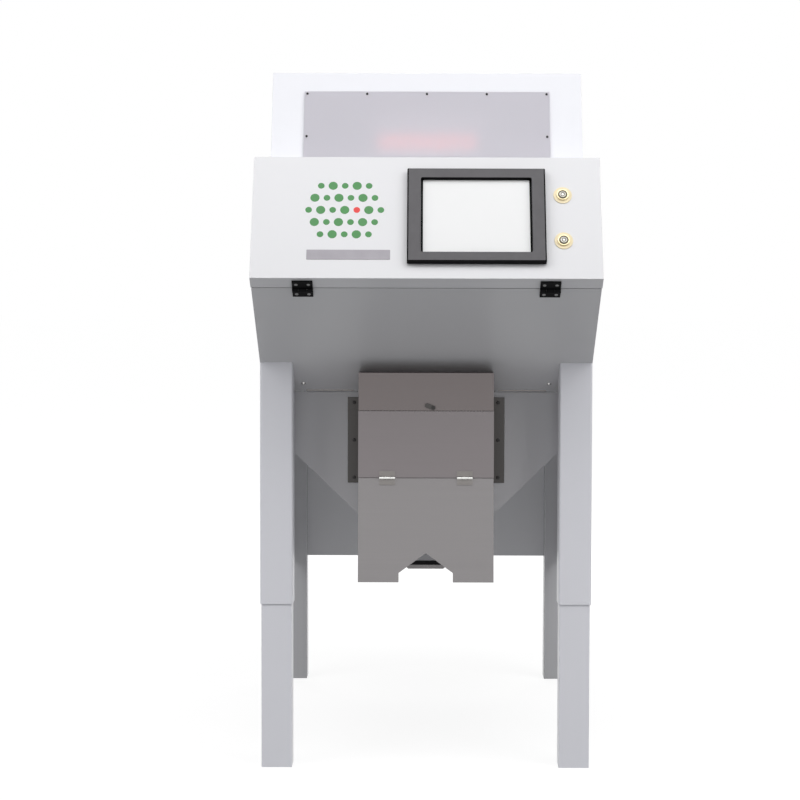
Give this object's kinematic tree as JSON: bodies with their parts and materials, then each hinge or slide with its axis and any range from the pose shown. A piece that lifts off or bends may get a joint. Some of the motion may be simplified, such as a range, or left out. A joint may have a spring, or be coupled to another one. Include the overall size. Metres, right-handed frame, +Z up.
{
  "type": "optical colour sorter",
  "caption": "Free-standing optical colour sorter with a tilted touch-screen console, vibrating feeder on top, inner chute and ejector, and a hinged stainless outlet spout.",
  "frame": {"origin": "centre of the bounding box's footprint, on the floor", "axes": "+Z up, +X to the right seen from the front, the control panel faces -Y"},
  "size_m": [0.682, 1.321, 1.4347],
  "materials": {
    "white_paint": "satin powder coat",
    "dark_paint": "matte powder coat",
    "red_paint": "gloss enamel",
    "cast_base": "cast",
    "zinc": "zinc plated",
    "stainless": "brushed stainless",
    "dark_stainless": "brushed stainless in shade",
    "spring_steel": "blued",
    "aluminium": "milled",
    "anodised_chute": "anodised",
    "frosted_acrylic": "frosted",
    "optics_glass": "clear",
    "display_glass": "glossy screen",
    "bezel_grey": "moulded",
    "black_plastic": "moulded",
    "grey_plastic": "moulded",
    "lamp_plastic": "diffuser",
    "yellow_plastic": "printed disc",
    "button_ring": "dark plated",
    "button_metal": "polished",
    "rubber_seal": "matte"
  },
  "bodies": {
    "machine": {"front_posts": "white_paint", "front_legs": "white_paint", "rear_legs": "white_paint", "side_rails": "white_paint", "side_panel_left": "white_paint", "side_panel_right": "white_paint", "console_floor": "white_paint", "roof_panel": "white_paint", "rear_hood": "white_paint", "rear_panel": "white_paint", "post_bolts": "zinc", "feeder_housing": "white_paint", "feeder_window": "frosted_acrylic", "window_screws": "zinc", "hopper": "stainless", "vibrator_base": "cast_base", "vibrator_drive": "red_paint", "leaf_springs": "spring_steel", "core_plate_left": "aluminium", "core_plate_right": "aluminium", "core_brackets": "zinc", "chute": "anodised_chute", "front_optics_box": "dark_paint", "rear_optics_box": "dark_paint", "optics_glass": "optics_glass", "front_camera": "black_plastic", "rear_camera": "black_plastic", "lamp_bars": "lamp_plastic", "ejector_manifold": "aluminium", "ejector_valves": "black_plastic", "accept_slide": "stainless", "funnel_front_plate": "white_paint", "reject_funnel": "white_paint", "funnel_seal": "rubber_seal", "funnel_collar": "stainless", "spout_flange": "dark_stainless", "flange_screws": "zinc", "spout_box": "stainless", "spout_apron": "stainless", "apron_hinge_leaves": "stainless", "door_hinge_pins": "zinc", "latch_pivot": "zinc", "console_hinge_leaves": "black_plastic", "cover_hinge_pins": "zinc", "equipment_shelf": "zinc", "electronics": "grey_plastic", "rear_services": "black_plastic"},
    "control_cover": {"control_cover": "white_paint", "cover_hinge_leaves": "black_plastic", "screen_bezel": "bezel_grey", "display": "display_glass", "panel_computer": "aluminium", "button_discs": "yellow_plastic", "button_barrels": "button_ring"},
    "button_upper": {"button_upper": "button_metal"},
    "button_lower": {"button_lower": "button_metal"},
    "inspection_door": {"inspection_door": "stainless", "door_hinge_leaves": "stainless"},
    "door_latch": {"door_latch": "dark_stainless"},
    "feeder_tray": {"feeder_tray": "stainless"}
  },
  "joints": [
    {"name": "cover_hinge", "type": "hinge", "parent": "machine", "child": "control_cover", "pos_m": [0, -0.63629, 0.98393], "axis": [1, 0, 0], "range_deg": [0, 100]},
    {"name": "button_upper_press", "type": "slide", "parent": "control_cover", "child": "button_upper", "axis": [0, 0.8894, -0.4571], "range_m": [0, 0.003], "stiffness_N_per_m": 800, "springref_m": -0.002},
    {"name": "button_lower_press", "type": "slide", "parent": "control_cover", "child": "button_lower", "axis": [0, 0.8894, -0.4571], "range_m": [0, 0.003], "stiffness_N_per_m": 800, "springref_m": -0.002},
    {"name": "door_hinge", "type": "hinge", "parent": "machine", "child": "inspection_door", "pos_m": [0, -0.44096, 0.6025], "axis": [1, 0, 0], "range_deg": [0, 120]},
    {"name": "latch_turn", "type": "hinge", "parent": "machine", "child": "door_latch", "pos_m": [0.0145, -0.4305, 0.745], "axis": [0, -1, 0], "range_deg": [0, 110]},
    {"name": "tray_vibration", "type": "slide", "parent": "machine", "child": "feeder_tray", "axis": [0, 1, 0], "range_m": [-0.0005, 0.0005], "stiffness_N_per_m": 20000}
  ]
}
